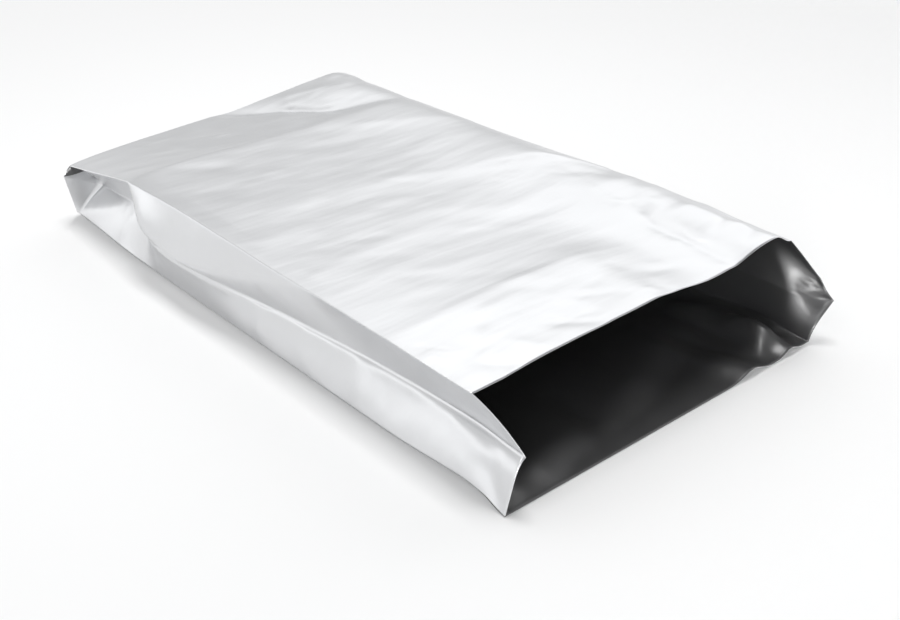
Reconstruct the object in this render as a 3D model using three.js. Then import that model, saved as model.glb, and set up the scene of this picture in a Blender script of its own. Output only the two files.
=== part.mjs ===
// Side-gusset foil bag lying on its bottom panel with the mouth open
// Millimetres. X runs across the bag, Y from the mouth to the closed end, Z up from the floor
import * as THREE from 'three';

// Whole bag
const PANEL_WIDTH = 300;
const BAG_LENGTH = 535;
const BAG_HEIGHT = 71;
const FILM = 0.4;

// Lips of the mouth
const LOWER_LIP_FORWARD = 29;
const LOWER_LIP_SKEW = 4;
const UPPER_LIP_SKEW = 1;
const LIP_EASE = 130;
const LIP_CREST = 3.6;
const LIP_DIP = 3.4;
const LIP_RIGHT_CREST = 5;
const LIP_CORNER_SAG = 2.5;
const LIP_WAVE_REACH = 95;

// Left gusset: how far its middle fold stands in from the side of the bag
const LEFT_FOLD_LIP = 15;
const LEFT_FOLD_DEEP = 18;
const LEFT_FOLD_MIDDLE = 7.5;
const LEFT_POP_OUT = 10.5;
const LEFT_POP_BACK = 205;
const LEFT_DENT_BACK = 162;
const LEFT_DENT = 12;
const LEFT_DENT_LENGTH = 30;
const LEFT_FORK = 20;
const FORK_BACK = 85;
const FORK_LIFT = 4.5;

// Right gusset: its fold stands out at the mouth and turns in behind it
const RIGHT_POP_OUT = 18;
const RIGHT_POP_DROP = 5.5;
const RIGHT_TURN = 24;
const RIGHT_FOLD_MIDDLE = 10;
const RIGHT_PINCH = 5;

// Swell of the gusset halves
const LIP_SWELL = 3;
const SIDE_SWELL = 1.2;
const POP_SWELL = 3.5;
const DENT_SWELL = 4;

// Buckled strip of the bottom panel beside the right gusset
const BUCKLE_WIDTH = 46;
const BUCKLE_LIFT = 6;
const BUCKLE_LENGTH = 120;
const PLEAT_LIFT = 10;
const PLEAT_INSET = 22;
const PLEAT_WIDTH = 8;
const RIPPLE_LIFT = 5.5;
const RIPPLE_INSET = 66;
const RIPPLE_WIDTH = 13;

// Closed end: crosswise crease, sunk rear, tucked gusset ends and turned-up end wall
const REAR_CREASE = 127;
const REAR_CREASE_SKEW = 17;
const REAR_DROP = 20;
const REAR_RISE_POWER = 0.62;
const REAR_EDGE_SET = 12;
const REAR_EDGE_SKEW = 8;
const TUCK_DEPTH = 23;
const TUCK_SET = 17;
const END_STEP = 5;
const END_NARROWING = 5;
const END_BULGE = 5;
const END_SHOULDER = 14;
const SHOULDER_FULLNESS = 0.3;

// Right side of the top panel, which stands a little higher than the rest
const RIGHT_RISE = 4.5;
const RIGHT_RISE_REAR = 1.5;
const RIGHT_RISE_AT = 115;
const RIGHT_RISE_WIDTH = 100;

// Soft waves pressed into the top panel
const WAVE_HEIGHT = 0.9;
const WAVE_PITCH = 78;
const WAVE_SLANT = 0.55;

// Spacing of the points on the film
const ACROSS_STEP = 19;
const ACROSS_CROWDING = 0.6;
const HALF_STEP = 9;
const MOUTH_STEP = 9;
const BODY_STEP = 17;
const REAR_STEP = 10;

const clamp01 = (t) => Math.min(1, Math.max(0, t));
const mix = (a, b, t) => a + (b - a) * t;
const ease = (t) => clamp01(t) ** 2 * (3 - 2 * clamp01(t));
const hill = (d, reach) => Math.exp(-((d / reach) ** 2));

// Smooth curve through [place, value] pairs, level at its ends and at every crest and dip
function curveThrough(pairs) {
  const slopeAt = (i) => {
    if (i === 0 || i === pairs.length - 1) return 0;
    const before = (pairs[i][1] - pairs[i - 1][1]) / (pairs[i][0] - pairs[i - 1][0]);
    const after = (pairs[i + 1][1] - pairs[i][1]) / (pairs[i + 1][0] - pairs[i][0]);
    return before * after > 0 ? (2 * before * after) / (before + after) : 0;
  };
  return (place) => {
    let i = 0;
    while (i < pairs.length - 2 && place > pairs[i + 1][0]) i += 1;
    const span = pairs[i + 1][0] - pairs[i][0];
    const t = clamp01((place - pairs[i][0]) / span);
    const level = mix(pairs[i][1], pairs[i + 1][1], t * t * (3 - 2 * t));
    const leaving = slopeAt(i) * span * t * (1 - t) ** 2;
    const arriving = slopeAt(i + 1) * span * t * t * (1 - t);
    return level + leaving - arriving;
  };
}

// Places along the bag that several folds share
const popAt = BAG_LENGTH - LEFT_POP_BACK;
const dentAt = BAG_LENGTH - LEFT_DENT_BACK;
const forkAt = BAG_LENGTH - FORK_BACK;
const lastRing = BAG_LENGTH - END_STEP;
const atLip = (y) => 1 - ease(y / LIP_EASE);
const atRear = (y) => ease(1 - (BAG_LENGTH - y) / REAR_CREASE);

// Top panel: the wavy upper lip, the raised right side, the soft waves and the slope behind the crease
const rightRise = curveThrough([
  [0, RIGHT_RISE / 8],
  [RIGHT_RISE_AT, RIGHT_RISE],
  [BAG_LENGTH - REAR_CREASE * 1.6, RIGHT_RISE_REAR],
  [BAG_LENGTH, RIGHT_RISE_REAR],
]);
const lipWave = curveThrough([
  [0, -LIP_CORNER_SAG],
  [0.2, LIP_CREST / 3],
  [0.52, LIP_CREST],
  [0.71, -LIP_DIP],
  [0.93, LIP_RIGHT_CREST],
  [1, LIP_RIGHT_CREST / 4],
]);
function topHeight(across, y) {
  const crease = BAG_LENGTH - REAR_CREASE + REAR_CREASE_SKEW * across;
  const behind = clamp01((y - crease) / (BAG_LENGTH - crease));
  const sink = REAR_DROP * (1 - across ** REAR_RISE_POWER) * behind;
  const lip = lipWave(across) * hill(y, LIP_WAVE_REACH);
  const inner = Math.sin(Math.PI * across) * ease(y / LIP_EASE);
  const wave = Math.sin((2 * Math.PI * y) / WAVE_PITCH + WAVE_SLANT * 2 * Math.PI * across);
  const rise = rightRise(y) * (1 - ease((PANEL_WIDTH * (1 - across)) / RIGHT_RISE_WIDTH));
  return BAG_HEIGHT - sink + lip + rise + WAVE_HEIGHT * wave * inner;
}

// Bottom panel: flat on the floor but for the buckled strip at the right of the mouth
function bottomHeight(across, y) {
  const fromRight = PANEL_WIDTH * (1 - across);
  const nearMouth = 1 - ease(y / BUCKLE_LENGTH);
  const strip = BUCKLE_LIFT * clamp01(1 - fromRight / BUCKLE_WIDTH) * nearMouth;
  const pleat = PLEAT_LIFT * hill(fromRight - PLEAT_INSET, PLEAT_WIDTH) * nearMouth ** 3;
  const ripple = RIPPLE_LIFT * hill(fromRight - RIPPLE_INSET, RIPPLE_WIDTH) * nearMouth ** 4;
  const lift = strip * (1 - 0.6 * hill(y, RIGHT_TURN)) + pleat + ripple;
  return lift > FILM / 8 ? lift : 0;
}

// Middle folds of the two gussets
const leftInset = curveThrough([
  [0, LEFT_FOLD_LIP],
  [LIP_EASE * 0.3, LEFT_FOLD_DEEP],
  [mix(LIP_EASE * 0.3, popAt, 0.5), LEFT_FOLD_MIDDLE],
  [popAt, -LEFT_POP_OUT],
  [dentAt, -LEFT_POP_OUT / 2],
  [dentAt + LEFT_DENT_LENGTH, LEFT_DENT],
  [forkAt, LEFT_FORK],
  [lastRing, TUCK_DEPTH],
]);
const rightInset = curveThrough([
  [0, -RIGHT_POP_OUT],
  [RIGHT_TURN, 0],
  [RIGHT_TURN * 2.2, RIGHT_FOLD_MIDDLE / 3],
  [BAG_LENGTH * 0.45, RIGHT_FOLD_MIDDLE],
  [forkAt, LEFT_FORK],
  [lastRing, TUCK_DEPTH],
]);
const leftFoldHeight = (y) => topHeight(0, y) / 2 + FORK_LIFT * hill(y - forkAt, FORK_BACK / 2);
const rightFoldHeight = (y) => topHeight(1, y) / 2 - RIGHT_POP_DROP * hill(y, RIGHT_TURN);

// Places along the bag of one ring of points: the lips stand apart and the rear edge is set in
const topPlace = (across, y) => y + UPPER_LIP_SKEW * across * atLip(y)
  - (REAR_EDGE_SET - REAR_EDGE_SKEW * across) * atRear(y);
const bottomPlace = (across, y) => y - (LOWER_LIP_FORWARD - LOWER_LIP_SKEW * across) * atLip(y);
const foldPlace = (y) => y - LOWER_LIP_FORWARD * atLip(y) - TUCK_SET * atRear(y);

const onTop = (across, y) => new THREE.Vector3(PANEL_WIDTH * across, topPlace(across, y), topHeight(across, y));
const onBottom = (across, y) => {
  const x = PANEL_WIDTH * across + END_NARROWING * (1 - 2 * across) * atRear(y);
  return new THREE.Vector3(x, bottomPlace(across, y), bottomHeight(across, y));
};
const onLeftFold = (y) => new THREE.Vector3(leftInset(y), foldPlace(y), leftFoldHeight(y));
const onRightFold = (y) => new THREE.Vector3(PANEL_WIDTH - rightInset(y), foldPlace(y), rightFoldHeight(y));

// A gusset half between its fold and the panel edge, swollen outwards in its middle
function onHalf(edge, fold, part, swell) {
  return edge.clone().lerp(fold, part).add(new THREE.Vector3(swell * 4 * part * (1 - part), 0, 0));
}
function leftUpperSwell(part, y) {
  const foldLine = mix(BAG_LENGTH - REAR_CREASE, dentAt, part);
  const before = POP_SWELL * hill(y - foldLine, LEFT_POP_BACK / 4) * (1 - ease((y - foldLine) / REAR_STEP));
  const after = DENT_SWELL * ease((y - foldLine) / REAR_STEP) * (1 - atRear(y) / 2);
  return after - before;
}
const leftLowerSwell = (y) => -LIP_SWELL * atLip(y) - SIDE_SWELL
  + 2 * SIDE_SWELL * hill(y - popAt, LEFT_POP_BACK / 2);
const rightUpperSwell = () => SIDE_SWELL;
const rightLowerSwell = (y) => SIDE_SWELL - (SIDE_SWELL + RIGHT_PINCH) * hill(y, RIGHT_TURN);

// Points across a panel crowd towards the busy right side
const steps = (length, step) => Math.max(2, Math.round(length / step));
const acrossCount = steps(PANEL_WIDTH, ACROSS_STEP);
const halfCount = steps(BAG_HEIGHT / 2, HALF_STEP);
const acrossAt = (i) => {
  const t = i / acrossCount;
  return t * (1 + ACROSS_CROWDING * (1 - t));
};

// One ring of film: bottom panel, right gusset, top panel, left gusset
function ringOf(corner, sides) {
  const ring = [];
  for (let i = 0; i < acrossCount; i += 1) ring.push(corner.bottom(acrossAt(i)));
  for (let i = 0; i < halfCount; i += 1) ring.push(sides.right(i / halfCount, 0));
  for (let i = 0; i < halfCount; i += 1) ring.push(sides.right(1 - i / halfCount, 1));
  for (let i = acrossCount; i > 0; i -= 1) ring.push(corner.top(acrossAt(i)));
  for (let i = 0; i < halfCount; i += 1) ring.push(sides.left(i / halfCount, 1));
  for (let i = 0; i < halfCount; i += 1) ring.push(sides.left(1 - i / halfCount, 0));
  return ring;
}
function bodyRing(y) {
  const corner = { bottom: (a) => onBottom(a, y), top: (a) => onTop(a, y) };
  const edge = [corner.bottom, corner.top];
  const left = (part, upper) =>
    onHalf(edge[upper](0), onLeftFold(y), part, upper ? leftUpperSwell(part, y) : leftLowerSwell(y));
  const right = (part, upper) =>
    onHalf(edge[upper](1), onRightFold(y), part, upper ? rightUpperSwell() : rightLowerSwell(y));
  return ringOf(corner, { left, right });
}

// Last ring: the straight corners of the turned-up end wall and its rounded shoulder
function endRing() {
  const corner = { bottom: (a) => onBottom(a, BAG_LENGTH), top: (a) => onTop(a, BAG_LENGTH) };
  const side = (across) => {
    const foot = corner.bottom(across);
    const head = corner.top(across);
    const shoulder = new THREE.Vector3(head.x, foot.y + END_BULGE, head.z - END_SHOULDER);
    return (part, upper) => {
      if (!upper) return foot.clone().lerp(shoulder, part);
      const chord = head.clone().lerp(shoulder, 0.5);
      const over = chord.lerp(shoulder.clone().setZ(head.z), SHOULDER_FULLNESS);
      const turn = new THREE.QuadraticBezierCurve3(head, over, shoulder);
      return turn.getPoint(part);
    };
  };
  return ringOf(corner, { left: side(0), right: side(1) });
}

const stretch = (from, to, step) => {
  const count = steps(to - from, step);
  return Array.from({ length: count }, (_, i) => mix(from, to, i / count));
};
const rearZone = BAG_LENGTH - REAR_CREASE * 1.35;
const stations = [
  ...stretch(0, LIP_EASE * 0.65, MOUTH_STEP),
  ...stretch(LIP_EASE * 0.65, rearZone, BODY_STEP),
  ...stretch(rearZone, lastRing, REAR_STEP),
  lastRing,
];
const rings = [...stations.map(bodyRing), endRing()];
const around = rings[0].length;

// Outer skin: rings first, then the inside points of the end wall
const skin = rings.flat();
const faces = [];
const addQuad = (a, b, c, d) => {
  const shortFirst = skin[a].distanceTo(skin[c]) <= skin[b].distanceTo(skin[d]);
  if (shortFirst) faces.push([a, b, c], [a, c, d]);
  else faces.push([a, b, d], [b, c, d]);
};
for (let k = 0; k < rings.length - 1; k += 1) {
  for (let i = 0; i < around; i += 1) {
    const next = (i + 1) % around;
    addQuad(k * around + i, (k + 1) * around + i, (k + 1) * around + next, k * around + next);
  }
}

// End wall: a patch blended from the four sides of the last ring
const wallRows = 2 * halfCount;
const lastStart = (rings.length - 1) * around;
const rimIndex = (col, row) => {
  if (row === 0) return lastStart + col;
  if (col === acrossCount) return lastStart + acrossCount + row;
  if (row === wallRows) return lastStart + 2 * acrossCount + wallRows - col;
  return lastStart + ((2 * acrossCount + 2 * wallRows - row) % around);
};
const wall = [];
for (let col = 0; col <= acrossCount; col += 1) {
  wall.push([]);
  for (let row = 0; row <= wallRows; row += 1) {
    if (col === 0 || row === 0 || col === acrossCount || row === wallRows) {
      wall[col].push(rimIndex(col, row));
    } else {
      const s = acrossAt(col);
      const t = row / wallRows;
      const at = (c, r) => skin[rimIndex(c, r)];
      const rows = at(0, row).clone().lerp(at(acrossCount, row), s);
      const columns = at(col, 0).clone().lerp(at(col, wallRows), t);
      const low = at(0, 0).clone().lerp(at(acrossCount, 0), s);
      const high = at(0, wallRows).clone().lerp(at(acrossCount, wallRows), s);
      wall[col].push(skin.length);
      skin.push(rows.add(columns).sub(low.lerp(high, t)));
    }
  }
}
for (let col = 0; col < acrossCount; col += 1) {
  for (let row = 0; row < wallRows; row += 1) {
    addQuad(wall[col][row], wall[col][row + 1], wall[col + 1][row + 1], wall[col + 1][row]);
  }
}

// Inner skin: each point moved in by the film, square to the faces round it
const lean = skin.map(() => new THREE.Vector3());
const faceNormals = faces.map(([a, b, c]) => new THREE.Triangle(skin[a], skin[b], skin[c])
  .getNormal(new THREE.Vector3()));
faces.forEach((face, f) => face.forEach((v, corner) => {
  const toNext = skin[face[(corner + 1) % 3]].clone().sub(skin[v]);
  const toLast = skin[face[(corner + 2) % 3]].clone().sub(skin[v]);
  lean[v].addScaledVector(faceNormals[f], toNext.angleTo(toLast));
}));
lean.forEach((n) => n.normalize());
const tightest = skin.map(() => 1);
faces.forEach((face, f) => face.forEach((v) => {
  tightest[v] = Math.min(tightest[v], faceNormals[f].dot(lean[v]));
}));
const lining = skin.map((p, v) => p.clone().addScaledVector(lean[v], -FILM / Math.max(tightest[v], 0.6)));

// The two skins joined by the cut edge of the film round the mouth
const points = [...skin, ...lining];
const solidFaces = faces.flatMap(([a, b, c]) => [[a, b, c], [c + skin.length, b + skin.length, a + skin.length]]);
for (let i = 0; i < around; i += 1) {
  const next = (i + 1) % around;
  solidFaces.push([i, next, next + skin.length], [i, next + skin.length, i + skin.length]);
}
const geometry = new THREE.BufferGeometry();
geometry.setAttribute('position', new THREE.Float32BufferAttribute(points.flatMap((p) => p.toArray()), 3));
geometry.setIndex(solidFaces.flat());
geometry.computeBoundingBox();
const middle = geometry.boundingBox.getCenter(new THREE.Vector3());
geometry.translate(-middle.x, -middle.y, -geometry.boundingBox.min.z);
geometry.computeVertexNormals();

const silver = new THREE.MeshStandardMaterial({ color: 0xd3d5d8, roughness: 0.38, metalness: 0.9 });
const bag = new THREE.Mesh(geometry, silver);
bag.name = 'foil_bag';

const part = new THREE.Group();
part.name = 'foil_bag_part';
part.add(bag);
export default part;
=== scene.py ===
"""Foil bag: the folded film with its soft folds, its silver outside and its dark inside."""

import math

import bpy
import numpy as np
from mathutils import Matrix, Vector


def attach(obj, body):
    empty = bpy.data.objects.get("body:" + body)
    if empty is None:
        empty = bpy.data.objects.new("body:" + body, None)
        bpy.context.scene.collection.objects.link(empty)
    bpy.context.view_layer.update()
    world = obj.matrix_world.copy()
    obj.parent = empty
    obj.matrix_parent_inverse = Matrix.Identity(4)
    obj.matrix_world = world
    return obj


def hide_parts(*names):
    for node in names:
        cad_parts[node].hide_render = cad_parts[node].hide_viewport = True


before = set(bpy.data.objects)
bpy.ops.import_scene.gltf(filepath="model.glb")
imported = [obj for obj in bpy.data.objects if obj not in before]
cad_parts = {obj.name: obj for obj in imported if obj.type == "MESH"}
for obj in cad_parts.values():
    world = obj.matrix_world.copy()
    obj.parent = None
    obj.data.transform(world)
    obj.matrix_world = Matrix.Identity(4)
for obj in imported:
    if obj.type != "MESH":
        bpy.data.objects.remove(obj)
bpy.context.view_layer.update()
MM = 0.001

# Sizes of the bag in millimetres, the same as in the part's source but for the skew and the turn of
# the rear crease and the blend of the dent
PANEL_WIDTH = 300
BAG_LENGTH = 535
BAG_HEIGHT = 71
LOWER_LIP_FORWARD = 29
LOWER_LIP_SKEW = 4
UPPER_LIP_SKEW = 1
LIP_EASE = 130
LIP_CREST = 3.6
LIP_DIP = 3.4
LIP_RIGHT_CREST = 5
LIP_CORNER_SAG = 2.5
LIP_WAVE_REACH = 95
LEFT_FOLD_LIP = 15
LEFT_FOLD_DEEP = 18
LEFT_FOLD_MIDDLE = 7.5
LEFT_POP_OUT = 10.5
LEFT_POP_BACK = 205
LEFT_DENT_BACK = 162
LEFT_DENT = 12
LEFT_DENT_LENGTH = 30
LEFT_FORK = 20
FORK_BACK = 85
FORK_LIFT = 4.5
RIGHT_POP_OUT = 18
RIGHT_POP_DROP = 5.5
RIGHT_TURN = 24
RIGHT_FOLD_MIDDLE = 10
RIGHT_PINCH = 5
SIDE_SWELL = 1.2
POP_SWELL = 3.5
DENT_SWELL = 4
DENT_BLEND = 10
BUCKLE_WIDTH = 46
BUCKLE_LIFT = 6
BUCKLE_LENGTH = 120
PLEAT_LIFT = 10
PLEAT_INSET = 22
PLEAT_WIDTH = 8
RIPPLE_LIFT = 5.5
RIPPLE_INSET = 66
RIPPLE_WIDTH = 13
REAR_CREASE = 127
REAR_CREASE_SKEW = 15
REAR_CREASE_TURN = 0.09
REAR_DROP = 20
REAR_RISE_POWER = 0.62
REAR_EDGE_SET = 12
REAR_EDGE_SKEW = 8
TUCK_DEPTH = 23
TUCK_SET = 17
END_STEP = 5
END_NARROWING = 5
END_BULGE = 5
END_SHOULDER = 14
SHOULDER_FULLNESS = 0.3
RIGHT_RISE = 4.5
RIGHT_RISE_REAR = 1.5
RIGHT_RISE_AT = 115
RIGHT_RISE_WIDTH = 100
# Middle of the bag's outline, which is the origin of the frame
MIDDLE = np.array([153.7517, 255.397, 0.0])

# Film, which thins towards the end wall, and fineness of its mesh
FILM = 0.3
FILM_AT_END = 0.1
FILM_THIN_FROM = 380
FILM_THIN_EASE = 60
TOP_COLUMNS = 128
BOTTOM_COLUMNS = 80
HALF = 15
RINGS = 164
END_RINGS = 5
FOLD_CROWDING = 0.5
RIGHT_CROWDING = 0.55
MOUTH_CROWDING = 0.35


def clamp01(t):
    return np.clip(t, 0.0, 1.0)


def mix(a, b, t):
    return a + (b - a) * t


def ease(t):
    c = clamp01(t)
    return c * c * (3 - 2 * c)


def hill(d, reach):
    return np.exp(-((d / reach) ** 2))


def curve_through(pairs):
    """Smooth curve through (place, value) pairs, level at its ends and at every crest and dip."""
    at = np.array([p[0] for p in pairs], float)
    value = np.array([p[1] for p in pairs], float)
    step = np.diff(value) / np.diff(at)
    slope = np.zeros(len(at))
    for i in range(1, len(at) - 1):
        if step[i - 1] * step[i] > 0:
            slope[i] = 2 * step[i - 1] * step[i] / (step[i - 1] + step[i])

    def curve(place):
        place = np.asarray(place, float)
        i = np.clip(np.searchsorted(at, place) - 1, 0, len(at) - 2)
        span = at[i + 1] - at[i]
        t = clamp01((place - at[i]) / span)
        level = mix(value[i], value[i + 1], t * t * (3 - 2 * t))
        return level + slope[i] * span * t * (1 - t) ** 2 - slope[i + 1] * span * t * t * (1 - t)

    return curve


# Creases and small waves of the film
FOLD_OVERRUN = 0.15
FOLD_FADE = 2
NOISE_CELLS = 64


def crest(s, width):
    """Ridge with a rounded top: 1 on its line, falling to nothing over about three widths."""
    return np.exp(1 - np.sqrt(1 + (s / width) ** 2))


def fold_across(x, y, line, lift, front, back):
    """A crease that runs across the bag, with its own widths towards the mouth and the end."""
    s = y - line(x)
    return lift(x) * crest(s, np.where(s < 0, front, back))


def fold_along(x, y, line, lift, left, right):
    """A crease that runs along the bag, with its own widths to the left and the right."""
    s = x - line(y)
    return lift(y) * crest(s, np.where(s < 0, left, right))


def short_fold(x, y, start, end, lift, width):
    """A straight crease between two places, fading out a little past both of them."""
    run_x, run_y = end[0] - start[0], end[1] - start[1]
    length = math.hypot(run_x, run_y)
    run_x, run_y = run_x / length, run_y / length
    along = ((x - start[0]) * run_x + (y - start[1]) * run_y) / length
    off = (y - start[1]) * run_x - (x - start[0]) * run_y
    begins = ease((along + FOLD_OVERRUN) * FOLD_FADE)
    ends = ease((1 + FOLD_OVERRUN - along) * FOLD_FADE)
    return lift * crest(off, width) * begins * ends


def short_folds(x, y, folds):
    return sum(short_fold(x, y, *fold) for fold in folds)


def scatter(x, y, count, low, high, lean, spread, length, width, lift, seed):
    """Many short creases at random places in a rectangle, most of them leaning the same way."""
    rng = np.random.default_rng(seed)
    total = 0.0 * (x + y)
    for _ in range(count):
        cx, cy = rng.uniform(low[0], high[0]), rng.uniform(low[1], high[1])
        angle = math.radians(lean + rng.normal(0, spread))
        half = rng.uniform(*length) / 2
        run_x, run_y = math.cos(angle) * half, math.sin(angle) * half
        size = rng.choice((-1, 1)) * rng.uniform(*lift)
        start, end = (cx - run_x, cy - run_y), (cx + run_x, cy + run_y)
        total = total + short_fold(x, y, start, end, size, rng.uniform(*width))
    return total


def soft_noise(x, y, size, seed):
    """Smooth random heights between about -1 and 1, with bumps of the given size."""
    random = np.random.default_rng(seed).uniform(-1, 1, (NOISE_CELLS, NOISE_CELLS))
    u, v = np.broadcast_arrays(np.asarray(x, float) / size[0], np.asarray(y, float) / size[1])
    i, j = np.floor(u).astype(int), np.floor(v).astype(int)
    s, t = u - i, v - j
    s, t = s ** 3 * (s * (s * 6 - 15) + 10), t ** 3 * (t * (t * 6 - 15) + 10)

    def corner(p, q):
        return random[(i + p) % NOISE_CELLS, (j + q) % NOISE_CELLS]

    return mix(mix(corner(0, 0), corner(1, 0), s), mix(corner(0, 1), corner(1, 1), s), t)


pop_at = BAG_LENGTH - LEFT_POP_BACK
dent_at = BAG_LENGTH - LEFT_DENT_BACK
fork_at = BAG_LENGTH - FORK_BACK
last_ring = BAG_LENGTH - END_STEP


def at_lip(y):
    return 1 - ease(y / LIP_EASE)


def at_rear(y):
    return ease(1 - (BAG_LENGTH - y) / REAR_CREASE)


# Top panel
lip_wave = curve_through([
    (0, -LIP_CORNER_SAG),
    (0.2, LIP_CREST / 3),
    (0.52, LIP_CREST),
    (0.71, -LIP_DIP),
    (0.93, LIP_RIGHT_CREST),
    (1, LIP_RIGHT_CREST / 4),
])
right_rise = curve_through([
    (0, RIGHT_RISE / 8),
    (RIGHT_RISE_AT, RIGHT_RISE),
    (BAG_LENGTH - REAR_CREASE * 1.6, RIGHT_RISE_REAR),
    (BAG_LENGTH, RIGHT_RISE_REAR),
])
# Creases that run across the panel: their line, their lift along it, and their widths to the
# front and the back
ACROSS_FOLDS = (
    # Long step over the middle, which bends forward beside the right margin
    (
        (
            (0, 300), (61, 290), (121, 283), (170, 272), (204, 263),
            (245, 245), (275, 229), (290, 207), (302, 178),
        ),
        ((0, 0.1), (60, 0.9), (200, 1.5), (245, 2.6), (275, 2.8), (300, 1.2)), 9, 26,
    ),
    # Ridges behind the upper lip
    (
        ((0, 75), (69, 77), (150, 79), (192, 74), (300, 60)),
        ((0, 0.4), (60, 1.5), (160, 1.8), (195, 1.0), (225, 0)), 20, 6,
    ),
    (((50, 63), (150, 66)), ((45, 0), (75, 0.7), (115, 0.6), (150, 0)), 12, 4),
    # Soft folds in front of the step
    (((100, 152), (260, 160)), ((100, 0), (150, -0.5), (220, -0.8), (252, 0)), 14, 9),
    (((160, 183), (240, 171)), ((160, 0), (190, 0.6), (235, 0.6), (256, 0)), 6, 8),
    (((30, 147), (160, 149)), ((25, 0), (60, 0.5), (130, 0.45), (165, 0)), 12, 6),
    (((10, 178), (60, 181)), ((8, 0), (20, 0.5), (48, 0.5), (66, 0)), 6, 5),
    (((10, 243), (60, 245)), ((8, 0), (20, 0.5), (50, 0.5), (70, 0)), 5, 10),
    # Buckles of the right margin
    (((250, 148), (300, 148)), ((238, 0), (260, 0.9), (300, 1.1)), 12, 9),
    (
        ((245, 126), (268, 112), (282, 122), (300, 125)),
        ((240, 0), (256, 0.9), (280, 0.9), (300, 0.8)), 10, 5,
    ),
    (((250, 81), (300, 77)), ((246, 0), (264, 0.8), (300, 1.0)), 14, 3.5),
    # Rear crease and the folds on both sides of it
    (
        ((0, 406), (27, 416), (60, 420), (300, 422)),
        ((20, 0), (60, 0.8), (190, 0.8), (230, 0.3), (300, 0.3)), 14, 4,
    ),
    (
        ((180, 412), (205, 406), (240, 383), (270, 365), (292, 351), (300, 347)),
        ((175, 0), (205, 0.9), (240, 1.2), (280, 1.0), (300, 0.5)), 10, 22,
    ),
    (
        ((140, 535), (165, 521), (190, 501), (208, 479), (222, 457), (250, 442), (300, 428)),
        ((140, 0), (165, -2.2), (200, -3.5), (230, -3.3), (270, -2.2), (300, -0.5)), 8, 10,
    ),
    # Hump in front of the rear right corner
    (
        ((190, 535), (205, 524), (245, 504), (278, 489), (300, 482)),
        ((180, 0), (205, 1.0), (245, 2.2), (275, 1.8), (300, 0.5)), 24, 12,
    ),
)
# Creases that run along the panel, beside the right margin and behind the dip of the lip: their
# line, their lift along it, and their widths to the left and the right
ALONG_FOLDS = (
    (
        ((0, 238), (47, 246), (72, 244), (92, 253), (150, 264), (223, 276)),
        ((0, -0.7), (40, -1.4), (90, -1.4), (150, -0.7), (223, -0.4), (260, 0)), 4, 13,
    ),
    (
        ((0, 172), (35, 177), (61, 180), (120, 185)),
        ((0, -0.8), (35, -0.7), (61, -0.4), (90, 0)), 8, 6,
    ),
)
# Straight creases: both ends, lift and width
TOP_FOLDS = (
    ((251, 112), (238, -10), -2.4, 6),
    ((266, 196), (292, 150), -0.9, 7),
    ((256, 40), (300, 51), -0.9, 3.5),
    ((262, 14), (300, 26), -0.9, 3.5),
    ((278, 30), (300, 36), 0.6, 3.5),
    ((275, 223), (262, 196), -0.4, 5),
    ((80, 30), (114, 2), -1.0, 4.5),
    ((98, 24), (120, 14), -0.7, 4),
    ((22, 22), (66, 70), -0.8, 4.5),
    ((4, 54), (30, 34), 0.5, 4),
    ((24, 22), (40, 4), -0.7, 4),
    ((52, 30), (66, 4), 0.5, 4),
    ((120, 40), (150, 22), -0.5, 4),
    ((150, 24), (170, 6), 0.5, 4),
    ((176, 36), (212, 26), -0.5, 4),
    ((62, 205), (96, 196), -0.4, 4),
    ((36, 416), (84, 380), -0.6, 7),
    ((25, 352), (66, 340), -0.5, 6),
    ((78, 490), (78, 452), -0.4, 4),
    ((78, 452), (128, 433), -0.5, 5),
    ((278, 540), (300, 505), 2.0, 12),
)
# Raised left edge over the pop-out
EDGE_RAISE = 2.4
EDGE_RAISE_WIDTH = 19
EDGE_RAISE_POWER = 1.3
EDGE_RAISE_AT, EDGE_RAISE_REACH = 318, 90
EDGE_RAISE_FROM, EDGE_RAISE_START = 185, 60
EDGE_RAISE_TO, EDGE_RAISE_STOP = 415, 25
# Shoulder along the right margin
MARGIN_SHOULDER = 7
MARGIN_FALL = 20
MARGIN_REACH = 70
MARGIN_FROM, MARGIN_START = -10, 210
# Rise of the upper lip towards the right, which fades out along the bag
LIP_RISE = 4.2
LIP_RISE_FROM = 125
LIP_RISE_WIDTH = 95
LIP_RISE_FALL = 18
LIP_RISE_REACH = 130
# Soft waves: height, size, lean and seed
TOP_WAVES = ((0.6, (120, 52), 0, 3), (0.16, (60, 14), 0.2, 5))
INNER_POWER = 0.7
# Small creases at random: count, two corners of the rectangle they lie in, lean and its spread
# in degrees, ranges of length, width and lift, and seed
PANEL_CREASES = (120, (10, 20), (285, 420), -10, 12, (24, 80), (3, 6), (0.1, 0.32), 11)
MARGIN_CREASES = (30, (225, 8), (300, 240), 20, 40, (10, 30), (2.5, 4.5), (0.1, 0.35), 12)
LIP_CREASES = (26, (8, 2), (200, 60), 40, 40, (10, 34), (2.5, 4.5), (0.08, 0.3), 13)
REAR_CREASES = (36, (20, 425), (300, 530), 0, 25, (14, 46), (3, 6), (0.1, 0.4), 14)


def top_height(across, y):
    crease = BAG_LENGTH - REAR_CREASE + REAR_CREASE_SKEW * (1 - np.exp(-across / REAR_CREASE_TURN))
    behind = clamp01((y - crease) / (BAG_LENGTH - crease))
    sink = REAR_DROP * (1 - clamp01(across) ** REAR_RISE_POWER) * behind
    rise = right_rise(y) * (1 - ease(PANEL_WIDTH * (1 - across) / RIGHT_RISE_WIDTH))
    return BAG_HEIGHT - sink + rise + lip_wave(across) * hill(y, LIP_WAVE_REACH)


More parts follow.
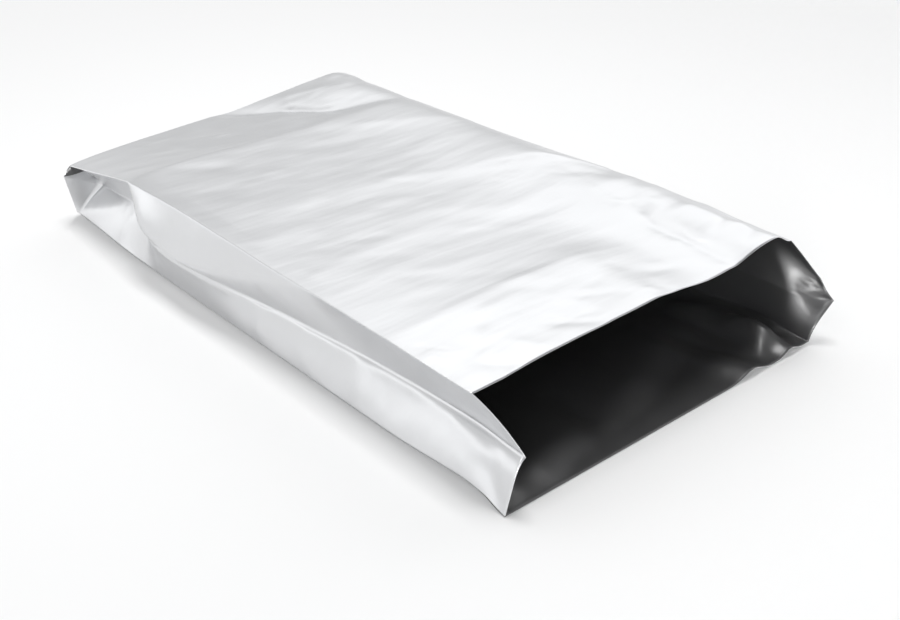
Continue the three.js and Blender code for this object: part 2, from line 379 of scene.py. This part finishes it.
def top_folds(across, y):
    x = PANEL_WIDTH * across
    z = 0.0 * (x + y)
    for line, lift, front, back in ACROSS_FOLDS:
        z = z + fold_across(x, y, curve_through(line), curve_through(lift), front, back)
    for line, lift, left, right in ALONG_FOLDS:
        z = z + fold_along(x, y, curve_through(line), curve_through(lift), left, right)
    z = z + short_folds(x, y, TOP_FOLDS)
    raised = hill(y - EDGE_RAISE_AT, EDGE_RAISE_REACH)
    raised = raised * ease((y - EDGE_RAISE_FROM) / EDGE_RAISE_START)
    raised = raised * ease((EDGE_RAISE_TO - y) / EDGE_RAISE_STOP)
    z = z + EDGE_RAISE * raised * clamp01(1 - x / EDGE_RAISE_WIDTH) ** EDGE_RAISE_POWER
    inward = PANEL_WIDTH - x
    shoulder = (1 - np.exp(-inward / MARGIN_FALL)) * hill(inward, MARGIN_REACH)
    z = z + MARGIN_SHOULDER * shoulder * ease((y - MARGIN_FROM) / MARGIN_START)
    lip_right = ease((x - LIP_RISE_FROM) / LIP_RISE_WIDTH) * ease(inward / LIP_RISE_FALL)
    z = z + LIP_RISE * lip_right * (1 - ease(y / LIP_RISE_REACH))
    inner = np.sin(np.pi * clamp01(across)) ** INNER_POWER
    for height, size, lean, seed in TOP_WAVES:
        z = z + inner * height * soft_noise(x, y + lean * x, size, seed)
    z = z + inner * scatter(x, y, *PANEL_CREASES)
    for creases in (MARGIN_CREASES, LIP_CREASES, REAR_CREASES):
        z = z + scatter(x, y, *creases)
    return z


def film_top(across, y):
    across, y = np.asarray(across, float), np.asarray(y, float)
    return top_height(across, y) + top_folds(across, y)


# Bottom panel, with its buckled right strip and the soft step where it lifts off the floor behind
# the lower lip
step_line = curve_through([(0, 6), (46, 10), (70, 17), (157, 29), (212, 45), (260, 58)])
step_lift = curve_through([
    (0, 4.5), (14, 5.5), (31, 2.5), (48, 4.5), (70, 5.5), (90, 4), (105, 1.2),
    (122, 4), (157, 6.5), (185, 4.5), (212, 5), (235, 2.5), (262, 0),
])
STEP_FRONT = 11
STEP_BACK = 13
STEP_TAIL = 70
BOTTOM_FOLDS = (
    ((252, 112), (264, 4), -1.8, 4),
    ((290, 22), (264, 50), 3.0, 6),
    ((296, 50), (268, 84), 3.0, 6),
    ((296, 84), (274, 116), 2.5, 5),
    ((274, 34), (278, 14), 2.5, 5),
    ((290, 40), (288, 14), -3.5, 5),
    ((286, 54), (258, 4), 5.0, 5),
    ((276, 82), (262, 50), 2.0, 5),
    ((262, 86), (244, 50), 1.5, 5),
    ((230, 60), (254, 0), -1.5, 4),
    ((214, 60), (226, 8), 1.4, 5),
)
BOTTOM_FOLDS_EASE = 16
STRIP_SAG = 0.6
PLEAT_AT_LIP = 0.4
PLEAT_EASE = 24
EDGE_ROUND = 11
EDGE_ROUND_LIFT = 3.4
EDGE_ROUND_FROM, EDGE_ROUND_EASE = 6, 30


def bottom_height(across, y):
    from_right = PANEL_WIDTH * (1 - across)
    near_mouth = 1 - ease(y / BUCKLE_LENGTH)
    strip = BUCKLE_LIFT * clamp01(1 - from_right / BUCKLE_WIDTH) * near_mouth
    pleat = PLEAT_LIFT * hill(from_right - PLEAT_INSET, PLEAT_WIDTH) * near_mouth ** 3
    pleat = pleat * mix(PLEAT_AT_LIP, 1, ease(y / PLEAT_EASE))
    ripple = RIPPLE_LIFT * hill(from_right - RIPPLE_INSET, RIPPLE_WIDTH) * near_mouth ** 4
    return strip * (1 - STRIP_SAG * hill(y, RIGHT_TURN)) + pleat + ripple


def film_bottom(across, y):
    across, y = np.asarray(across, float), np.asarray(y, float)
    x = PANEL_WIDTH * across
    z = bottom_height(across, y)
    past = y - step_line(x)
    start = np.maximum(-STEP_FRONT, -step_line(x))
    lifted = ease((past - start) / (STEP_BACK - start)) * (1 - ease((past - STEP_BACK) / STEP_TAIL))
    z = z + step_lift(x) * lifted
    z = z + short_folds(x, y, BOTTOM_FOLDS) * ease(y / BOTTOM_FOLDS_EASE)
    side = np.minimum(x, PANEL_WIDTH - x)
    behind_lip = ease((y - EDGE_ROUND_FROM) / EDGE_ROUND_EASE)
    z = z + EDGE_ROUND_LIFT * clamp01(1 - side / EDGE_ROUND) ** 2 * behind_lip
    return np.maximum(z, 0.0)


# Gussets
left_inset = curve_through([
    (0, LEFT_FOLD_LIP),
    (LIP_EASE * 0.3, LEFT_FOLD_DEEP),
    (mix(LIP_EASE * 0.3, pop_at, 0.5), LEFT_FOLD_MIDDLE),
    (pop_at, -LEFT_POP_OUT),
    (dent_at, -LEFT_POP_OUT / 2),
    (dent_at + LEFT_DENT_LENGTH, LEFT_DENT),
    (fork_at, LEFT_FORK),
    (last_ring, TUCK_DEPTH),
])
right_inset = curve_through([
    (0, -RIGHT_POP_OUT),
    (RIGHT_TURN, 0),
    (RIGHT_TURN * 2.2, RIGHT_FOLD_MIDDLE / 3),
    (BAG_LENGTH * 0.45, RIGHT_FOLD_MIDDLE),
    (fork_at, LEFT_FORK),
    (last_ring, TUCK_DEPTH),
])
LOWER_LEFT_FOLDS = (
    ((226, 38), (229, 2), -1.5, 6),
    ((118, 38), (116, 2), -1.6, 5),
    ((170, 36), (180, 6), -0.8, 6),
    ((78, 36), (88, 6), 0.9, 6),
    ((60, 36), (16, 24), -2.0, 5),
    ((16, 24), (-4, 30), -2.0, 5),
    ((26, 20), (2, 0), 1.6, 5),
    ((438, 34), (452, 0), -1.2, 4),
    ((470, 30), (520, 6), -0.8, 6),
)
LOWER_LIP_SWELL = 1.0
# Shelf along the left fold; the scale brings its highest place to about 1
SHELF = 1.1
SHELF_POWER, SHELF_SCALE = 12, 34
SHELF_TO, SHELF_STOP = 430, 60
UPPER_TUCK = 1.8
UPPER_TUCK_TO, UPPER_TUCK_STOP = 120, 60
# Soft crease that parts the bright popped-out facet from the tucked strip below it: its place
# between the edge of the panel and the fold, how far it stands out, and its rounding
pop_crease = curve_through([
    (150, 0.03), (169, 0.06), (219, 0.34), (260, 0.63), (297, 0.84), (330, 0.95),
])
pop_crease_out = curve_through([
    (150, 0), (176, 1.2), (219, 5.5), (260, 6.5), (297, 3.8), (345, 0),
])
POP_CREASE_ROUND = 0.12
# How far the fold below it lies further in and lower
POP_FOLD_IN = 4
POP_FOLD_DOWN = 2.8
POP_FOLD_AT, POP_FOLD_REACH = 240, 50
POP_BULGE = 5.5
POP_BULGE_REACH = 30
FORK_END_LIFT = 5
# Tucked tip of the fork, which starts further back at the fold than at the panel's edge
FORK_TUCK = 9
FORK_TUCK_EDGE, FORK_TUCK_FOLD = 503, 527
FORK_TUCK_START = 9
# Soft waves, without a lean, and small creases of the gussets, as on the panel
LOWER_LEFT_WAVES = (0.5, (34, 60), 21)
LOWER_LEFT_CREASES = (30, (0, 2), (440, 34), 80, 25, (12, 34), (3, 6), (0.1, 0.4), 22)
UPPER_LEFT_WAVES = (0.4, (48, 60), 31)
UPPER_LEFT_CREASES = (24, (0, 2), (500, 34), 20, 40, (12, 40), (3, 6), (0.1, 0.35), 32)
RIGHT_CREASES = (40, (0, 2), (500, 34), 80, 30, (12, 36), (3, 6), (0.1, 0.45))
RIGHT_WAVES = (0.6, (36, 60))
RIGHT_LOWER_SEED, RIGHT_UPPER_SEED = 41, 51
# How far the left edge of the end wall flares out, comes forward and rises at its shoulder
LEFT_END_FLARE = (-9, -24, 9)
# Pleats of the right ear: their angles round its pinched corner, their depths and widths
PINCH = (-8, 36)
EAR_FOLDS = ((-52, -0.8, 10), (-28, 2.0, 9), (5, -2.6, 10), (42, 2.6, 11))
EAR_REACH = 14
EAR_FROM, EAR_START = -4, 6
EAR_AT_LIP = 0.45
EAR_LIP_EASE = 5
EAR_EDGE_FADE = 3
LEAST_AHEAD = 0.01


def left_fold_height(y):
    raised = FORK_END_LIFT * ease((y - fork_at) / (last_ring - fork_at))
    return film_top(0.0, y) / 2 + FORK_LIFT * hill(y - fork_at, FORK_BACK / 2) + raised


def right_fold_height(y):
    return film_top(1.0, y) / 2 - RIGHT_POP_DROP * hill(y, RIGHT_TURN)


def left_upper_swell(part, y):
    fold_line = mix(BAG_LENGTH - REAR_CREASE, dent_at, part)
    past = ease((y - fold_line) / DENT_BLEND)
    swell = POP_SWELL * hill(y - fold_line, LEFT_POP_BACK / 4)
    before = (swell + POP_BULGE * hill(y - fold_line, POP_BULGE_REACH)) * (1 - past)
    after = DENT_SWELL * past * (1 - at_rear(y) / 2)
    tucked = FORK_TUCK * ease((y - mix(FORK_TUCK_EDGE, FORK_TUCK_FOLD, part)) / FORK_TUCK_START)
    front = UPPER_TUCK * (1 - ease((y - UPPER_TUCK_TO) / UPPER_TUCK_STOP))
    return front - before + after + tucked


def left_lower_swell(y):
    at_pop = hill(y - pop_at, LEFT_POP_BACK / 2)
    return -LOWER_LIP_SWELL * at_lip(y) - SIDE_SWELL + 2 * SIDE_SWELL * at_pop


def right_lower_swell(y):
    return SIDE_SWELL - (SIDE_SWELL + RIGHT_PINCH) * hill(y, RIGHT_TURN)


def height_at(part):
    return part * BAG_HEIGHT / 2


def pinned(part):
    """1 in the middle of a half of a gusset, nothing at its edge and its fold."""
    return (4 * part * (1 - part)) ** 0.5


def waves(y, height, lift, size, seed):
    return lift * soft_noise(y, height, size, seed)


def left_lower_folds(part, y):
    height = height_at(part)
    out = short_folds(y, height, LOWER_LEFT_FOLDS)
    out = out + waves(y, height, *LOWER_LEFT_WAVES)
    out = out + scatter(y, height, *LOWER_LEFT_CREASES)
    shelf = part ** SHELF_POWER * (1 - part) * SHELF_SCALE
    return pinned(part) * out - SHELF * shelf * ease((SHELF_TO - y) / SHELF_STOP)


def left_upper_folds(part, y):
    height = height_at(part)
    out = waves(y, height, *UPPER_LEFT_WAVES)
    out = out + scatter(y, height, *UPPER_LEFT_CREASES)
    rise, fall = part / pop_crease(y), (1 - part) / (1 - pop_crease(y))
    both = np.exp(-rise / POP_CREASE_ROUND) + np.exp(-fall / POP_CREASE_ROUND)
    tent = -POP_CREASE_ROUND * np.log(both)
    return pinned(part) * out - pop_crease_out(y) * np.maximum(tent, 0)


def right_folds(part, y, seed):
    height = height_at(part)
    out = waves(y, height, *RIGHT_WAVES, seed)
    out = out + scatter(y, height, *RIGHT_CREASES, seed + 1)
    return pinned(part) * out


def points(x, y, z):
    return np.stack(np.broadcast_arrays(x, y, z), -1).astype(float)


def on_top(across, y):
    set_in = (REAR_EDGE_SET - REAR_EDGE_SKEW * across) * at_rear(y)
    place = y + UPPER_LIP_SKEW * across * at_lip(y) - set_in
    return points(PANEL_WIDTH * across, place, film_top(across, y))


def on_bottom(across, y):
    x = PANEL_WIDTH * across + END_NARROWING * (1 - 2 * across) * at_rear(y)
    place = y - (LOWER_LIP_FORWARD - LOWER_LIP_SKEW * across) * at_lip(y)
    return points(x, place, film_bottom(across, y))


def fold_place(y):
    return y - LOWER_LIP_FORWARD * at_lip(y) - TUCK_SET * at_rear(y)


def on_left_fold(y):
    drawn_in = hill(y - POP_FOLD_AT, POP_FOLD_REACH)
    inset = left_inset(y) + POP_FOLD_IN * drawn_in
    return points(inset, fold_place(y), left_fold_height(y) - POP_FOLD_DOWN * drawn_in)


def on_right_fold(y):
    return points(PANEL_WIDTH - right_inset(y), fold_place(y), right_fold_height(y))


def on_half(edge, fold, part, swell, folds):
    """One half of a gusset, from the edge of a panel to the gusset's fold."""
    p = edge + (fold - edge) * part[..., None]
    p[..., 0] += swell * 4 * part * (1 - part) + folds
    return p


def pleated(p, part, y):
    """Pleats that run out from the pinched corner of the right ear to the mouth."""
    ahead, rise = PINCH[0] - p[..., 1], p[..., 2] - PINCH[1]
    angle = np.degrees(np.arctan2(rise, np.maximum(ahead, LEAST_AHEAD)))
    wave = sum(lift * crest(angle - at, width) for at, lift, width in EAR_FOLDS)
    fade = ease((ahead - EAR_FROM) / EAR_START) * mix(EAR_AT_LIP, 1, ease(y / EAR_LIP_EASE))
    out = clamp01(np.hypot(ahead, rise) / EAR_REACH)
    p[..., 0] += wave * out * fade * ease(EAR_EDGE_FADE * part)
    return p


def crowded(count):
    """Steps from 0 to 1, closer together next to both ends, where the folds are."""
    t = np.linspace(0, 1, count + 1)
    return t - FOLD_CROWDING * np.sin(2 * np.pi * t) / (2 * np.pi)


def crowded_right(count):
    """Steps from 0 to 1 that grow closer together towards 1."""
    t = np.linspace(0, 1, count + 1)
    return t * (1 + RIGHT_CROWDING * (1 - t))


def joined(bottom, right_low, right_top, top, left_top, left_low):
    """The sides of the bag as one closed ring of points, with the ones they share kept once."""
    return np.concatenate([
        bottom[..., :-1, :],
        right_low[..., :-1, :],
        right_top[..., :0:-1, :],
        top[..., :0:-1, :],
        left_top[..., :-1, :],
        left_low[..., :0:-1, :],
    ], axis=-2)


# The film as rings of points: bottom panel, right gusset, top panel, left gusset
top_steps = crowded(TOP_COLUMNS)
bottom_steps = crowded_right(BOTTOM_COLUMNS)
half_steps = crowded(HALF)
station = np.linspace(0, 1, RINGS)
station = last_ring * (station - MOUTH_CROWDING * np.sin(2 * np.pi * station) / (2 * np.pi))
Y = station[:, None]
P = half_steps[None, :] + 0 * Y
left_edge_low, right_edge_low = on_bottom(0.0, Y), on_bottom(1.0, Y)
left_edge_top, right_edge_top = on_top(0.0, Y), on_top(1.0, Y)
left_fold, right_fold = on_left_fold(Y), on_right_fold(Y)
panel_bottom = on_bottom(bottom_steps[None, :], Y)
panel_top = on_top(top_steps[None, :], Y)
folds = right_folds(P, Y, RIGHT_LOWER_SEED)
half_right_low = on_half(right_edge_low, right_fold, P, right_lower_swell(Y), folds)
folds = right_folds(P, Y, RIGHT_UPPER_SEED)
half_right_top = on_half(right_edge_top, right_fold, P, SIDE_SWELL, folds)
half_right_low, half_right_top = pleated(half_right_low, P, Y), pleated(half_right_top, P, Y)
folds = left_lower_folds(P, Y)
half_left_low = on_half(left_edge_low, left_fold, P, left_lower_swell(Y), folds)
folds = left_upper_folds(P, Y)
half_left_top = on_half(left_edge_top, left_fold, P, left_upper_swell(P, Y), folds)
rings = joined(
    panel_bottom, half_right_low, half_right_top, panel_top, half_left_top, half_left_low
)


def end_ring():
    """The ring round the end wall, whose sides turn over its shoulders without a fold."""
    y = np.array(float(BAG_LENGTH))

    def side(across):
        foot, head = on_bottom(across, y), on_top(across, y)
        shoulder = np.array([head[0], foot[1] + END_BULGE, head[2] - END_SHOULDER])
        if across == 0:
            shoulder = shoulder + np.array(LEFT_END_FLARE)
        t = half_steps[:, None]
        low = foot + (shoulder - foot) * t
        corner = np.array([shoulder[0], shoulder[1], head[2]])
        over = mix((head + shoulder) / 2, corner, SHOULDER_FULLNESS)
        top = head * (1 - t) ** 2 + over * 2 * t * (1 - t) + shoulder * t * t
        return low, top

    left_low, left_top = side(0.0)
    right_low, right_top = side(1.0)
    bottom, top = on_bottom(bottom_steps, y), on_top(top_steps, y)
    return joined(bottom, right_low, right_top, top, left_top, left_low)


to_end = np.linspace(0, 1, END_RINGS + 1)[1:, None, None]
rings = np.concatenate([rings, mix(rings[-1:], end_ring()[None], to_end)], axis=0)
ring_count, around = rings.shape[:2]
skin = rings.reshape(-1, 3)
index = np.arange(ring_count * around).reshape(ring_count, around)
after = np.roll(index, -1, axis=1)
quads = np.stack([index[:-1], index[1:], after[1:], after[:-1]], -1).reshape(-1, 4)

# The turned-up end wall, blended from the four sides of the last ring
rows = 2 * HALF
ring_last = index[-1]
foot = ring_last[: BOTTOM_COLUMNS + 1]
wall = np.zeros((TOP_COLUMNS + 1, rows + 1), int)
wall[TOP_COLUMNS, :] = ring_last[BOTTOM_COLUMNS: BOTTOM_COLUMNS + rows + 1]
wall[::-1, rows] = ring_last[BOTTOM_COLUMNS + rows: BOTTOM_COLUMNS + TOP_COLUMNS + rows + 1]
wall[0, ::-1] = np.append(ring_last[BOTTOM_COLUMNS + TOP_COLUMNS + rows:], ring_last[0])
S = top_steps[1:-1, None, None]
T = np.concatenate([half_steps[:-1] / 2, 0.5 + half_steps / 2])[None, 1:-1, None]
edge_left, edge_right = skin[wall[0, 1:-1]][None], skin[wall[TOP_COLUMNS, 1:-1]][None]
edge_low = [np.interp(top_steps[1:-1], bottom_steps, skin[foot][:, c]) for c in range(3)]
edge_low = np.stack(edge_low, -1)[:, None]
edge_high = skin[wall[1:-1, rows]][:, None]
corners = [skin[wall[i, j]][None, None] for i, j in ((0, 0), (-1, 0), (0, rows), (-1, rows))]
flat_low, flat_high = mix(corners[0], corners[1], S), mix(corners[2], corners[3], S)
inner_wall = mix(edge_left, edge_right, S) + mix(edge_low, edge_high, T)
inner_wall = inner_wall - mix(flat_low, flat_high, T)
inner_shape = inner_wall.shape[:2]
wall[1:-1, 1:-1] = len(skin) + np.arange(inner_shape[0] * inner_shape[1]).reshape(inner_shape)
skin = np.concatenate([skin, inner_wall.reshape(-1, 3)])
quads = np.concatenate([
    quads,
    np.stack([wall[:-1, 1:-1], wall[:-1, 2:], wall[1:, 2:], wall[1:, 1:-1]], -1).reshape(-1, 4),
])
# The lowest row of the end wall steps from its fine columns to the coarse ones of the bottom panel
triangles = []
i = j = 0
while i < TOP_COLUMNS or j < BOTTOM_COLUMNS:
    if j == BOTTOM_COLUMNS or (i < TOP_COLUMNS and top_steps[i + 1] <= bottom_steps[j + 1]):
        triangles.append((foot[j], wall[i, 1], wall[i + 1, 1]))
        i += 1
    else:
        triangles.append((foot[j], wall[i, 1], foot[j + 1]))
        j += 1
outer = np.concatenate([quads[:, :3], quads[:, [0, 2, 3]], np.array(triangles)])


def normals_of(p):
    face = np.cross(p[outer[:, 1]] - p[outer[:, 0]], p[outer[:, 2]] - p[outer[:, 0]])
    out = np.zeros_like(p)
    for corner in range(3):
        for c in range(3):
            out[:, c] += np.bincount(outer[:, corner], face[:, c], len(p))
    return out / np.maximum(np.linalg.norm(out, axis=1, keepdims=True), 1e-12)


# The two sides of the film and its cut edge round the mouth
thinned = ease((skin[:, 1] - FILM_THIN_FROM) / FILM_THIN_EASE)
thickness = mix(FILM, FILM_AT_END, thinned)[:, None]
lining = skin - normals_of(skin) * thickness
count = len(skin)
rim = np.stack([index[0], after[0], after[0] + count, index[0] + count], -1)
all_points = (np.concatenate([skin, lining]) - MIDDLE) * MM
inner = outer[:, ::-1] + count
side_of = np.repeat([0, 1, 0], [len(outer), len(inner), len(rim)])

mesh = bpy.data.meshes.new("foil_bag_film")
mesh.from_pydata(all_points.tolist(), [], outer.tolist() + inner.tolist() + rim.tolist())
mesh.polygons.foreach_set("use_smooth", np.ones(len(side_of), bool))
mesh.polygons.foreach_set("material_index", side_of)
# The end wall meets the film in a sharp fold
at_end = np.zeros(len(all_points), bool)
at_end[ring_last] = True
ends = np.zeros(2 * len(mesh.edges), np.int32)
mesh.edges.foreach_get("vertices", ends)
mesh.edges.foreach_set("use_edge_sharp", at_end[ends.reshape(-1, 2)].all(1))
mesh.update()
bag = bpy.data.objects.new("foil_bag_film", mesh)
bpy.context.scene.collection.objects.link(bag)


# Materials: a hazy silver film and a dark inside, both with fine bumps. A noise has a scale in
# bumps per metre and a detail, a bump has a strength and a depth in metres
NOISE_LOW, NOISE_HIGH = 0.3, 0.7
FINE_NOISE = (45, 0)
SILVER = (0.7, 0.705, 0.715, 1)
SILVER_HAZE, SILVER_ROUGHNESS = (34, 4), (0.28, 0.33)
SILVER_BUMP = (0.2, 0.0006)
CRINKLE_SCALE, CRINKLE_TURN = (14, 75, 40), 8
CRINKLE_NOISE = (1, 2)
CRINKLE_BUMP = (1.0, 0.00036)
DARK = (0.042, 0.042, 0.043, 1)
DARK_IOR, DARK_SPECULAR = 1.7, 0.9
DARK_HAZE, DARK_ROUGHNESS = (40, 3), (0.32, 0.4)
DARK_BUMP = (0.25, 0.0006)


def material(name):
    m = bpy.data.materials.new(name)
    m.use_nodes = True
    nodes, links = m.node_tree.nodes, m.node_tree.links
    return m, nodes, links, nodes["Principled BSDF"]


def combined(nodes, links, operation, one, two):
    """The output of a math node that works on two others."""
    node = nodes.new("ShaderNodeMath")
    node.operation = operation
    links.new(one, node.inputs[0])
    links.new(two, node.inputs[1])
    return node.outputs[0]


def ranged(nodes, links, source, low, high, to_low, to_high, steps="LINEAR"):
    """An output brought from one range of values to another."""
    reach = nodes.new("ShaderNodeMapRange")
    reach.interpolation_type = steps
    reach.inputs["From Min"].default_value = low
    reach.inputs["From Max"].default_value = high
    reach.inputs["To Min"].default_value = to_low
    reach.inputs["To Max"].default_value = to_high
    links.new(source, reach.inputs["Value"])
    return reach.outputs[0]


def object_place(nodes):
    return nodes.new("ShaderNodeTexCoord").outputs["Object"]


def noise_at(nodes, links, place, scale, detail):
    noise = nodes.new("ShaderNodeTexNoise")
    noise.inputs["Scale"].default_value = scale
    noise.inputs["Detail"].default_value = detail
    links.new(place, noise.inputs["Vector"])
    return noise.outputs[0]


def bumped(nodes, links, target, source, strength, depth):
    """Gives a shader, or another bump, the bumps of a noise."""
    bump = nodes.new("ShaderNodeBump")
    bump.inputs["Strength"].default_value = strength
    bump.inputs["Distance"].default_value = depth
    links.new(source, bump.inputs["Height"])
    links.new(bump.outputs[0], target.inputs["Normal"])
    return bump


def hazed(nodes, links, shader, noise, roughness):
    haze = noise_at(nodes, links, object_place(nodes), *noise)
    rough = ranged(nodes, links, haze, NOISE_LOW, NOISE_HIGH, *roughness)
    links.new(rough, shader.inputs["Roughness"])


silver, nodes, links, shader = material("silver_film")
shader.inputs["Base Color"].default_value = SILVER
shader.inputs["Metallic"].default_value = 1.0
hazed(nodes, links, shader, SILVER_HAZE, SILVER_ROUGHNESS)
fine_noise = noise_at(nodes, links, object_place(nodes), *FINE_NOISE)
fine = bumped(nodes, links, shader, fine_noise, *SILVER_BUMP)
# Crinkles of the film, drawn out across the bag
stretch = nodes.new("ShaderNodeMapping")
stretch.inputs["Scale"].default_value = CRINKLE_SCALE
stretch.inputs["Rotation"].default_value = (0, 0, math.radians(CRINKLE_TURN))
links.new(object_place(nodes), stretch.inputs["Vector"])
crinkle = noise_at(nodes, links, stretch.outputs[0], *CRINKLE_NOISE)
bumped(nodes, links, fine, crinkle, *CRINKLE_BUMP)
black, nodes, links, shader = material("dark_inside")
shader.inputs["Base Color"].default_value = DARK
shader.inputs["IOR"].default_value = DARK_IOR
shader.inputs["Specular IOR Level"].default_value = DARK_SPECULAR
hazed(nodes, links, shader, DARK_HAZE, DARK_ROUGHNESS)
fine_noise = noise_at(nodes, links, object_place(nodes), *FINE_NOISE)
bumped(nodes, links, shader, fine_noise, *DARK_BUMP)
mesh.materials.append(silver)
mesh.materials.append(black)

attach(bag, "root")
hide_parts("foil_bag")

# Floor, in metres. Its white shows to the camera and in the film, the more so far away where the
# lamps don't reach
FLOOR_SIZE = 14
FLOOR_DROP = 0.0004
FLOOR_GREY = 0.8
FLOOR_ROUGHNESS = 0.9
FLOOR_NEAR, FLOOR_FAR = 0.3, 2.4
FLOOR_LIFT, FLOOR_LIFT_FAR = 0.075, 0.42
bpy.ops.mesh.primitive_plane_add(size=FLOOR_SIZE, location=(0, 0, -FLOOR_DROP))
floor = bpy.context.object
floor.name = "floor"
paper, nodes, links, shader = material("white_floor")
shader.inputs["Base Color"].default_value = (FLOOR_GREY, FLOOR_GREY, FLOOR_GREY, 1)
shader.inputs["Roughness"].default_value = FLOOR_ROUGHNESS
shader.inputs["Specular IOR Level"].default_value = 0.0
shader.inputs["Emission Color"].default_value = (1, 1, 1, 1)
away = nodes.new("ShaderNodeVectorMath")
away.operation = "LENGTH"
links.new(object_place(nodes), away.inputs[0])
lift = ranged(
    nodes, links, away.outputs["Value"],
    FLOOR_NEAR, FLOOR_FAR, FLOOR_LIFT, FLOOR_LIFT_FAR, "SMOOTHSTEP",
)
path = nodes.new("ShaderNodeLightPath").outputs
seen = combined(nodes, links, "MAXIMUM", path["Is Camera Ray"], path["Is Glossy Ray"])
seen = combined(nodes, links, "MAXIMUM", seen, path["Is Transmission Ray"])
glow = combined(nodes, links, "MULTIPLY", seen, lift)
links.new(glow, shader.inputs["Emission Strength"])
floor.data.materials.append(paper)

# World: a pale studio, light towards the front right and again low at the back left, with a dim
# ceiling and a dim patch high in front. The sky's stops give its grey along its lean
SKY_TINT = (0.99, 0.995, 1, 1)
SKY_STRENGTH = 1.26
SKY_LEAN = (0.45, -0.4, 1.0)
SKY_LOW, SKY_HIGH = -0.75, 1.25
SKY = (
    (-0.75, 0.58),
    (-0.55, 0.78),
    (-0.35, 1.14),
    (-0.2, 0.92),
    (-0.05, 0.58),
    (0.05, 0.5),
    (0.2, 0.58),
    (0.28, 0.66),
    (0.36, 0.76),
    (0.46, 1.06),
    (0.56, 1.19),
    (0.75, 1.18),
    (1.25, 1.18),
)
UP = (0, 0, 1)
CEILING, CEILING_FROM, CEILING_TO = 0.15, 0.7, 0.86
FRONT_WAY = (0.2, -0.55, 0.81)
FRONT, FRONT_FROM, FRONT_TO = 0.35, 0.5, 0.8
SIDE_LIGHT = (-0.64, -0.1, 0.76)
SIDE_STRENGTH, SIDE_EDGE, SIDE_CORE = 0.1, 0.45, 0.9
BACK_LIGHT = (-0.4, 0.91, 0.1)
BACK_STRENGTH, BACK_EDGE, BACK_CORE = 0.16, 0.88, 0.975
world = bpy.data.worlds.new("studio")
bpy.context.scene.world = world
world.use_nodes = True
nodes, links = world.node_tree.nodes, world.node_tree.links
sky = nodes["Background"]
sky.inputs["Color"].default_value = SKY_TINT
where = nodes.new("ShaderNodeTexCoord")


def towards(direction, low, high, to_low, to_high, steps="SMOOTHSTEP"):
    """How far a ray points along a direction, brought from one range to another."""
    along = nodes.new("ShaderNodeVectorMath")
    along.operation = "DOT_PRODUCT"
    along.inputs[1].default_value = direction
    links.new(where.outputs["Generated"], along.inputs[0])
    return ranged(nodes, links, along.outputs["Value"], low, high, to_low, to_high, steps)


ramp = nodes.new("ShaderNodeValToRGB")
links.new(towards(SKY_LEAN, SKY_LOW, SKY_HIGH, 0.0, 1.0, "LINEAR"), ramp.inputs[0])
stops = ramp.color_ramp.elements
while len(stops) < len(SKY):
    stops.new(0.5)
for stop, (at, grey) in zip(stops, SKY):
    stop.position = (at - SKY_LOW) / (SKY_HIGH - SKY_LOW)
    stop.color = (grey, grey, grey, 1)
light = ramp.outputs[0]
for operation, part in (
    ("MULTIPLY", towards(UP, CEILING_FROM, CEILING_TO, SKY_STRENGTH, SKY_STRENGTH * CEILING)),
    ("MULTIPLY", towards(FRONT_WAY, FRONT_FROM, FRONT_TO, 1.0, FRONT)),
    ("ADD", towards(SIDE_LIGHT, SIDE_EDGE, SIDE_CORE, 0.0, SIDE_STRENGTH)),
    ("ADD", towards(BACK_LIGHT, BACK_EDGE, BACK_CORE, 0.0, BACK_STRENGTH)),
):
    light = combined(nodes, links, operation, light, part)
links.new(light, sky.inputs["Strength"])

# Lamps: name, place, aim and size in metres, power in watts, spread in degrees
LAMPS = (
    ("overhead", (0.05, 0.1, 1.35), (0.05, 0.1, 0), (0.4, 0.8), 10.5, 180),
    ("left", (-1.0, -0.1, 1.4), (0, 0, 0), (0.35, 0.35), 2, 180),
    ("front", (-0.9, -1.15, 0.28), (0.25, -0.4, 0.03), (0.5, 0.3), 0.22, 24),
)


def facing(way):
    """The turn of a lamp or a camera that looks along a direction."""
    return Vector(way).to_track_quat("-Z", "Y").to_euler()


for name, place, aim, size, power, spread in LAMPS:
    lamp = bpy.data.lights.new(name, "AREA")
    lamp.shape = "RECTANGLE"
    lamp.size, lamp.size_y = size
    lamp.energy = power
    lamp.spread = math.radians(spread)
    holder = bpy.data.objects.new(name, lamp)
    holder.location = place
    holder.rotation_euler = facing(Vector(aim) - Vector(place))
    bpy.context.scene.collection.objects.link(holder)

# Camera at the photograph's place, which is in millimetres from the bag's front left corner
PHOTO_WIDTH = 900
FOCAL_PIXELS = 1173
SENSOR_WIDTH = 36
NEAR_CLIP = 0.01
EYE = np.array([-369.6, -412.9, 414.6])
LOOK = (0.5748, 0.6712, -0.4679)
lens = bpy.data.cameras.new("camera")
lens.sensor_width = SENSOR_WIDTH
lens.lens = SENSOR_WIDTH * FOCAL_PIXELS / PHOTO_WIDTH
lens.clip_start = NEAR_CLIP
camera = bpy.data.objects.new("camera", lens)
bpy.context.scene.collection.objects.link(camera)
camera.location = (EYE - MIDDLE) * MM
camera.rotation_euler = facing(LOOK)
bpy.context.scene.camera = camera
bpy.context.scene.view_settings.view_transform = "Standard"
